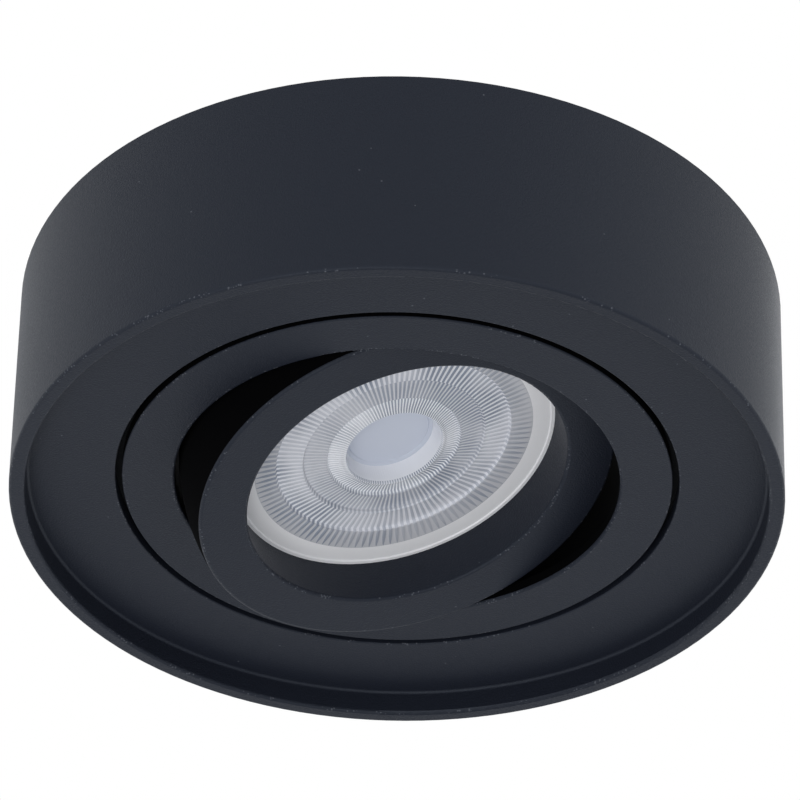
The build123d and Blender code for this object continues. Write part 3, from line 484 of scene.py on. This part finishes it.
def brushed(name, color, roughness):
    """Bright metal with fine turning marks."""
    material, nodes, links, shader = new_material(name, color, roughness, 1.0)
    marks = noise(nodes, links, 0.25 * MM, 2.0, (1, 0.15, 1))
    vary(nodes, links, marks.outputs["Fac"], roughness - 0.08, roughness + 0.1, shader.inputs["Roughness"])
    add_bump(nodes, links, shader, marks.outputs["Fac"], 0.18, 0.02 * MM)
    return material


def cast_aluminium():
    """Die cast and lightly blasted."""
    material, nodes, links, shader = new_material("bare_aluminium", (0.74, 0.75, 0.76), 0.42, 1.0)
    grain = noise(nodes, links, 0.3 * MM, 4.0)
    vary(nodes, links, grain.outputs["Fac"], 0.34, 0.52, shader.inputs["Roughness"])
    add_bump(nodes, links, shader, grain.outputs["Fac"], 0.3, 0.05 * MM)
    clouds = noise(nodes, links, 5.0 * MM, 2.0)
    color_between(
        nodes,
        links,
        clouds.outputs["Fac"],
        (0.66, 0.67, 0.69),
        (0.80, 0.80, 0.80),
        shader.inputs["Base Color"],
    )
    return material


def striped_insulation():
    """Green insulation with a yellow stripe that winds slowly."""
    material, nodes, links, shader = new_material("green_yellow_insulation", (0.06, 0.30, 0.06), 0.38)
    place = add(nodes, "ShaderNodeTexCoord")
    bands = add(nodes, "ShaderNodeTexWave", wave_type="BANDS", bands_direction="DIAGONAL")
    bands.inputs["Scale"].default_value = 90.0
    bands.inputs["Distortion"].default_value = 0.6
    links.new(place.outputs["Object"], bands.inputs["Vector"])
    ramp = color_between(
        nodes,
        links,
        bands.outputs["Color"],
        (0.05, 0.28, 0.05),
        (0.80, 0.66, 0.04),
        shader.inputs["Base Color"],
    )
    ramp.color_ramp.interpolation = "CONSTANT"
    ramp.color_ramp.elements[1].position = 0.6
    return material


def braided_sleeve():
    """White glass fibre braid."""
    material, nodes, links, shader = new_material("white_sleeve", (0.80, 0.79, 0.76), 0.75)
    place = add(nodes, "ShaderNodeTexCoord")
    weave = add(nodes, "ShaderNodeTexChecker", Scale=1.0 / (0.45 * MM))
    turn = add(nodes, "ShaderNodeMapping")
    turn.inputs["Rotation"].default_value = (0.6, 0.5, radians(45))
    links.new(place.outputs["Object"], turn.inputs["Vector"])
    links.new(turn.outputs["Vector"], weave.inputs["Vector"])
    add_bump(nodes, links, shader, weave.outputs["Fac"], 0.5, 0.08 * MM)
    color_between(
        nodes,
        links,
        weave.outputs["Fac"],
        (0.72, 0.71, 0.68),
        (0.86, 0.85, 0.82),
        shader.inputs["Base Color"],
    )
    return material


def circuit_board(name, color):
    material, nodes, links, shader = new_material(name, color, 0.3)
    traces = noise(nodes, links, 1.5 * MM, 0.0, (1, 0.3, 1))
    lighter = tuple(min(1.0, channel * 1.5) for channel in color)
    ramp = color_between(nodes, links, traces.outputs["Fac"], color, lighter, shader.inputs["Base Color"])
    ramp.color_ramp.interpolation = "CONSTANT"
    ramp.color_ramp.elements[1].position = 0.55
    return material


def rib_shade_sides(nodes, links, radius, parts):
    """1 on the side of a rib that is painted in shade, which narrows to nothing at the end of the outer ribs."""
    angle = calc(nodes, links, "ARCTAN2", parts.outputs["Y"], parts.outputs["X"])
    wave = calc(nodes, links, "SINE", calc(nodes, links, "MULTIPLY", angle, float(RIB_COUNT)))
    stripe = calc(nodes, links, "MULTIPLY_ADD", wave, 0.5, 0.5)
    start, end = LENS_RINGS[-1], RIB_FADE_RADIUS
    past = calc(nodes, links, "SUBTRACT", radius, start)
    taper = calc(nodes, links, "MULTIPLY", past, 1.0 / (end - start))
    return calc(nodes, links, "GREATER_THAN", stripe, calc(nodes, links, "MAXIMUM", taper, STRIPE_LEVEL))


def painted_rib_shade(nodes, links, radius, parts, ribbed_band):
    """How much painted shade and reflection darkens the lens here, 0 to 1: only on ribs, and in some places more
    than in others.
    """
    wedge = rib_shade_sides(nodes, links, radius, parts)
    patches = noise(nodes, links, STREAK_SIZE, 1.0).outputs["Fac"]
    depth = map_range(nodes, links, patches, *STREAK_NOISE, *STREAK_DEPTH)
    striped = calc(nodes, links, "GREATER_THAN", radius, WELL_MOUTH)
    dark = calc(nodes, links, "MULTIPLY", depth, ribbed_band)
    return calc(nodes, links, "MULTIPLY", wedge, calc(nodes, links, "MULTIPLY", dark, striped))


def painted_ring_light(nodes, links, radius):
    """Painted light and shade: a brightness for each ring of the lens, and a slightly lighter one for the band
    past the ribs.
    """
    rings = add(nodes, "ShaderNodeValToRGB")
    ramp = rings.color_ramp
    ramp.elements[0].color = (*LENS_COLOR, 1.0)
    ramp.elements[1].position = RIB_FADE_RADIUS / TONE_RADIUS
    ramp.elements[1].color = (*LENS_BAND_COLOR, 1.0)
    ramp.interpolation = "CONSTANT"
    for ring_radius, level in RING_LIGHT_LEVELS:
        step = ramp.elements.new(ring_radius / TONE_RADIUS)
        step.color = (LENS_COLOR[0] * level, LENS_COLOR[1] * level, min(1.0, RING_BLUE * level), 1.0)
    share = calc(nodes, links, "MULTIPLY", radius, 1.0 / TONE_RADIUS)
    links.new(share, rings.inputs["Fac"])
    return rings.outputs["Color"]


def clear_lens():
    """Pale moulded plastic: frosted in the middle, with painted shade and reflection striping its ribs and a
    painted light level for each ring.
    """
    material, nodes, links, shader = new_material(
        "clear_lens", (0.93, 0.95, 1.0), 0.1, IOR=1.49, Transmission_Weight=0.06
    )
    place = add(nodes, "ShaderNodeTexCoord").outputs["Object"]
    radius, _, parts = radius_height(nodes, links, place)
    ribbed = calc(nodes, links, "GREATER_THAN", radius, WELL_RADIUS)
    inside_fade = calc(nodes, links, "LESS_THAN", radius, RIB_FADE_RADIUS)
    ribbed_band = calc(nodes, links, "MULTIPLY", ribbed, inside_fade)
    # painted shade and reflection darken one side of each rib
    tone = add(nodes, "ShaderNodeMix", data_type="RGBA")
    mix_colors(tone, links, painted_rib_shade(nodes, links, radius, parts, ribbed_band), None, RIB_SHADE_COLOR)
    links.new(painted_ring_light(nodes, links, radius), tone.inputs[6])
    calm = add(nodes, "ShaderNodeMix", data_type="RGBA")
    mix_colors(calm, links, ribbed, FROSTED_COLOR, None)
    links.new(tone.outputs[2], calm.inputs[7])
    links.new(calm.outputs[2], shader.inputs["Base Color"])
    polish = BAND_GLOSS - FROSTED_ROUGHNESS
    frosted = calc(nodes, links, "MULTIPLY_ADD", ribbed_band, polish, FROSTED_ROUGHNESS)
    links.new(frosted, shader.inputs["Roughness"])
    flow = noise(nodes, links, 1.2 * MM, 2.0)
    add_bump(nodes, links, shader, flow.outputs["Fac"], 0.15, 0.02 * MM)
    return material


def frosted_back():
    """Etched back of the lens, white with the body behind it."""
    material, nodes, links, shader = new_material("frosted_lens_back", (0.84, 0.86, 0.90), 0.6)
    clouds = noise(nodes, links, 3.0 * MM, 2.0)
    color_between(
        nodes,
        links,
        clouds.outputs["Fac"],
        (0.78, 0.80, 0.85),
        (0.88, 0.90, 0.93),
        shader.inputs["Base Color"],
    )
    add_bump(nodes, links, shader, clouds.outputs["Fac"], 0.1, 0.05 * MM)
    return material


FINISHES = {
    "black_powder_coat": powder_coat("black_powder_coat", DRUM_EDGES, *DRUM_HIDDEN, True),
    "zinc_steel": zinc_steel(),
    "black_steel": black_steel(),
    "black_rubber": moulded("black_rubber", (0.025, 0.025, 0.027), 0.62),
    "white_nylon": moulded("white_nylon", (0.83, 0.82, 0.78), 0.42, Subsurface_Weight=0.2),
    "brass": brushed("brass", (0.78, 0.60, 0.28), 0.3),
    "tinned_copper": brushed("tinned_copper", (0.70, 0.69, 0.67), 0.32),
    "green_yellow_insulation": striped_insulation(),
    "brown_insulation": moulded("brown_insulation", (0.16, 0.07, 0.035), 0.38),
    "blue_insulation": moulded("blue_insulation", (0.04, 0.16, 0.50), 0.38),
    "white_sleeve": braided_sleeve(),
    "fibre": moulded("fibre", (0.035, 0.022, 0.018), 0.7, 0.2 * MM, 0.3),
    "clear_lens": clear_lens(),
    "white_plastic": moulded("white_plastic", (0.84, 0.84, 0.83), 0.4),
    "white_board": circuit_board("white_board", (0.86, 0.86, 0.84)),
    "yellow_phosphor": moulded("yellow_phosphor", (0.88, 0.76, 0.36), 0.5),
    "bare_aluminium": cast_aluminium(),
    "green_board": circuit_board("green_board", (0.03, 0.20, 0.08)),
    "black_component": moulded("black_component", (0.04, 0.04, 0.045), 0.35),
    "spring_wire": brushed("spring_wire", (0.55, 0.55, 0.57), 0.25),
}


# ------------------------------------------------------------------ CAD nodes that stay
COATS = {
    "swivel_ring": powder_coat("black_powder_coat_swivel", SWIVEL_EDGES, *SWIVEL_HIDDEN, True),
    "gimbal_ring": powder_coat("black_powder_coat_gimbal", GIMBAL_EDGES, *GIMBAL_HIDDEN, False, True),
}
for subpart in frame["record"]["subparts"]:
    name = subpart["node"]
    mesh = frame["nodes"][name].data
    mesh.materials.clear()
    mesh.materials.append(COATS.get(name, FINISHES[subpart["material_slot"]]))
    mesh.polygons.foreach_set("use_smooth", [True] * len(mesh.polygons))
    mesh.set_sharp_from_angle(angle=radians(SHARP_ANGLE))


# painted shade: near black on the swivel ring's faces above its front, and on the lamp ring's skirt
painted_shade = painted_shade_black()
shade_hidden_faces("swivel_ring", Matrix.Identity(4), SWIVEL_HIDDEN[0], 0.0, painted_shade)
shade_hidden_faces("gimbal_ring", GIMBAL, GIMBAL_PAINTED_SHADE_HEIGHT, GIMBAL_HIDDEN[1], painted_shade)


# ------------------------------------------------------------------ lens with its ribs
def well_stations(floor, high):
    """The frosted well in the middle, with its ribbed wall."""
    groove = WELL_GROOVE_DEPTH
    rows = [
        (WELL_GROOVE_RADIUS * 0.5, floor, 0),
        (WELL_GROOVE_RADIUS - groove, floor, 0),
        (WELL_GROOVE_RADIUS, floor + groove, 0),
        (WELL_GROOVE_RADIUS + groove, floor, 0),
        (WELL_RADIUS, floor - groove, 0),
    ]
    for step in range(1, RING_STEPS):
        share = step / RING_STEPS
        rib = RIB_HEIGHT * WELL_RIB_SHARE * sin(pi * share)
        rows.append((WELL_RADIUS + (WELL_MOUTH - WELL_RADIUS) * share, floor + (high - floor) * share, rib))
    return rows


def ring_stations(front, high):
    """The stepped rings, then the outer ribs that fade toward the rim."""
    rows = [(WELL_MOUTH + RING_RISER, front, 0), (LENS_RINGS[0] - RING_RISER, front, 0)]
    for inner, outer in zip(LENS_RINGS, LENS_RINGS[1:]):
        start, end = inner + RING_RISER, outer - RING_RISER
        for step in range(RING_STEPS + 1):
            share = step / RING_STEPS
            rib = RIB_HEIGHT if 0 < step < RING_STEPS else RIB_HEIGHT * STEP_RIB_SHARE
            rows.append((start + (end - start) * share, high + RING_RELIEF * share, rib))
    start, end = LENS_RINGS[-1] + RING_RISER, RIB_FADE_RADIUS
    for step in range(RING_STEPS + 1):
        share = step / RING_STEPS
        rows.append((start + (end - start) * share, high, RIB_HEIGHT * OUTER_RIB_SHARE * (1 - share)))
    return rows


def lens_stations(radius, front, back_edge):
    """Radius, depth and rib height along the lens, from its front's middle round to its back's middle."""
    high = front + FACE_DROP
    floor = front + WELL_DEPTH
    rim_and_back = [
        (radius - RIM_WIDTH - RING_RISER, high, 0),
        (radius - RIM_WIDTH, front, 0),
        (radius - RING_RISER / 2, front, 0),
        (radius, front + RING_RISER / 2, 0),
        (radius, back_edge, 0),
        (radius - LENS_EDGE_WALL, back_edge, 0),
        (radius - LENS_EDGE_WALL, front + LENS_BACK, 0),
        (CUP_ROOT_RADIUS, front + LENS_BACK, 0),
        (CUP_RADIUS, floor + CUP_FLOOR, 0),
        (CUP_RADIUS * 0.5, floor + CUP_FLOOR, 0),
    ]
    return well_stations(floor, high) + ring_stations(front, high) + rim_and_back


def ribbed_lens():
    """Closed mesh of the lens, with real ribs on its front."""
    low, high = local_box("module_lens", GIMBAL)
    rows = lens_stations(high.y, low.z, low.z + LENS_EDGE_HEIGHT)
    columns = RIB_COUNT * RIB_STEPS
    points = []
    for radius, depth, rib in rows:
        for column in range(columns):
            angle = 2 * pi * column / columns
            flute = 0.5 - 0.5 * sin(angle * RIB_COUNT)
            points.append((radius * cos(angle), radius * sin(angle), depth + rib * flute))
    front_middle, back_middle = len(points), len(points) + 1
    points.append((0, 0, rows[0][1]))
    points.append((0, 0, rows[-1][1]))
    faces = grid_faces(len(rows), columns)
    faces += fan_faces(front_middle, 0, columns, True)
    faces += fan_faces(back_middle, (len(rows) - 1) * columns, columns, False)
    lens = mesh_object("ribbed_lens", points, faces, LENS_SHARP_ANGLE)
    turn_faces_outward(lens.data)
    lens.matrix_world = GIMBAL
    lens.data.materials.append(FINISHES["clear_lens"])
    lens.data.materials.append(frosted_back())
    for face in lens.data.polygons:
        if face.normal.z > 0.5 and face.center.z > low.z + LENS_BACK - RING_RISER:
            face.material_index = 1
    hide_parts("module_lens")
    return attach(lens, "gimbal")


def smooth_tube(name, controls, radius):
    """Round tube along a curve that starts and ends at its first and last control point."""
    curve = bpy.data.curves.new(name, "CURVE")
    curve.dimensions = "3D"
    curve.bevel_depth = radius
    curve.bevel_resolution = TUBE_ROUNDNESS
    curve.use_fill_caps = True
    spline = curve.splines.new("NURBS")
    spline.points.add(len(controls) - 1)
    for point, place in zip(spline.points, controls):
        point.co = (*place, 1.0)
    spline.order_u = 3
    spline.use_endpoint_u = True
    spline.resolution_u = TUBE_STEPS
    shape = bpy.data.objects.new(name, curve)
    bpy.context.scene.collection.objects.link(shape)
    mesh = bpy.data.meshes.new_from_object(shape.evaluated_get(bpy.context.evaluated_depsgraph_get()))
    bpy.data.objects.remove(shape)
    made = bpy.data.objects.new(name, mesh)
    bpy.context.scene.collection.objects.link(made)
    mesh.polygons.foreach_set("use_smooth", [True] * len(mesh.polygons))
    mesh.materials.clear()
    mesh.materials.append(FINISHES["white_sleeve"])
    return made


def bending_lead():
    """The sleeved pair in two pieces: a tail from the lamp's bush, and a run along its route."""
    bush_top = local_box("lead_bush", GIMBAL)[1].z
    start = GIMBAL @ Vector((0, 0, bush_top))
    bend = GIMBAL @ Vector((0, 0, bush_top + LEAD_STRAIGHT))
    split = (bend + LEAD_ROUTE[0]) / 2
    tail = smooth_tube("lead_tail", (start, bend, split), SLEEVE_RADIUS)
    run = smooth_tube("lead_run", (split, *LEAD_ROUTE), SLEEVE_RADIUS)
    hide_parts("module_lead")
    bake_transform(tail)
    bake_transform(run)


ribbed_lens()
bending_lead()


# ------------------------------------------------------------------ floor, world, lights, camera
def make_floor():
    half = FLOOR_SIZE / 2
    corners = [(-half, -half), (half, -half), (half, half), (-half, half)]
    floor = mesh_object("floor", [(x, y, FLOOR_HEIGHT) for x, y in corners], [(0, 1, 2, 3)])
    material, nodes, links, shader = new_material("pale_floor", (0.88, 0.88, 0.88), 0.6)
    clouds = noise(nodes, links, 0.15, 2.0)
    color_between(
        nodes,
        links,
        clouds.outputs["Fac"],
        (0.86, 0.86, 0.86),
        (0.90, 0.90, 0.90),
        shader.inputs["Base Color"],
    )
    floor.data.materials.append(material)


def make_world():
    """White to the camera, and a soft light all round that is dimmer straight above."""
    world = bpy.data.worlds.new("studio")
    bpy.context.scene.world = world
    world.use_nodes = True
    nodes, links = world.node_tree.nodes, world.node_tree.links
    light = nodes["Background"]
    light.inputs["Color"].default_value = (*WORLD_TINT, 1.0)
    place = add(nodes, "ShaderNodeTexCoord")
    parts = add(nodes, "ShaderNodeSeparateXYZ")
    links.new(place.outputs["Generated"], parts.inputs["Vector"])
    zenith = map_range(nodes, links, parts.outputs["Z"], ZENITH_START, ZENITH_END, 1.0, ZENITH_LEVEL)
    path = add(nodes, "ShaderNodeLightPath")
    mirrored = calc(
        nodes, links, "MAXIMUM", path.outputs["Is Glossy Ray"], path.outputs["Is Transmission Ray"]
    )
    level = calc(nodes, links, "MULTIPLY_ADD", mirrored, 1.0 - WORLD_LEVEL, WORLD_LEVEL)
    strength = calc(nodes, links, "MULTIPLY", level, zenith)
    links.new(strength, light.inputs["Strength"])
    white = add(nodes, "ShaderNodeBackground", Strength=1.0)
    white.inputs["Color"].default_value = (1, 1, 1, 1)
    mix = add(nodes, "ShaderNodeMixShader")
    links.new(path.outputs["Is Camera Ray"], mix.inputs["Fac"])
    links.new(light.outputs["Background"], mix.inputs[1])
    links.new(white.outputs["Background"], mix.inputs[2])
    links.new(mix.outputs["Shader"], nodes["World Output"].inputs["Surface"])


def area_lamp(name, place, size, power, target):
    data = bpy.data.lights.new(name, "AREA")
    data.size = size
    data.energy = power
    lamp = bpy.data.objects.new(name, data)
    lamp.location = place
    lamp.rotation_euler = (target - place).to_track_quat("-Z", "Y").to_euler()
    bpy.context.scene.collection.objects.link(lamp)


def make_camera():
    forward = Vector(
        (sin(CAMERA_YAW) * cos(CAMERA_PITCH), cos(CAMERA_YAW) * cos(CAMERA_PITCH), sin(CAMERA_PITCH))
    )
    level = Vector((cos(CAMERA_YAW), -sin(CAMERA_YAW), 0))
    rise = level.cross(forward)
    right = level * cos(CAMERA_ROLL) + rise * sin(CAMERA_ROLL)
    up = rise * cos(CAMERA_ROLL) - level * sin(CAMERA_ROLL)
    turn = Matrix((right, up, -forward)).transposed().to_4x4()
    data = bpy.data.cameras.new("camera")
    data.sensor_width = SENSOR_WIDTH
    data.lens = FOCAL_PIXELS / PHOTO_SIZE * SENSOR_WIDTH
    data.clip_start = 0.05
    data.clip_end = 50.0
    camera = bpy.data.objects.new("camera", data)
    camera.matrix_world = Matrix.Translation(CAMERA_PLACE) @ turn
    bpy.context.scene.collection.objects.link(camera)
    bpy.context.scene.camera = camera


make_floor()
make_world()
for lamp_name, (lamp_place, lamp_power) in LAMPS.items():
    area_lamp(lamp_name, lamp_place, LAMP_SIZE, lamp_power, pivot)
make_camera()
bpy.context.scene.view_settings.view_transform = "Standard"
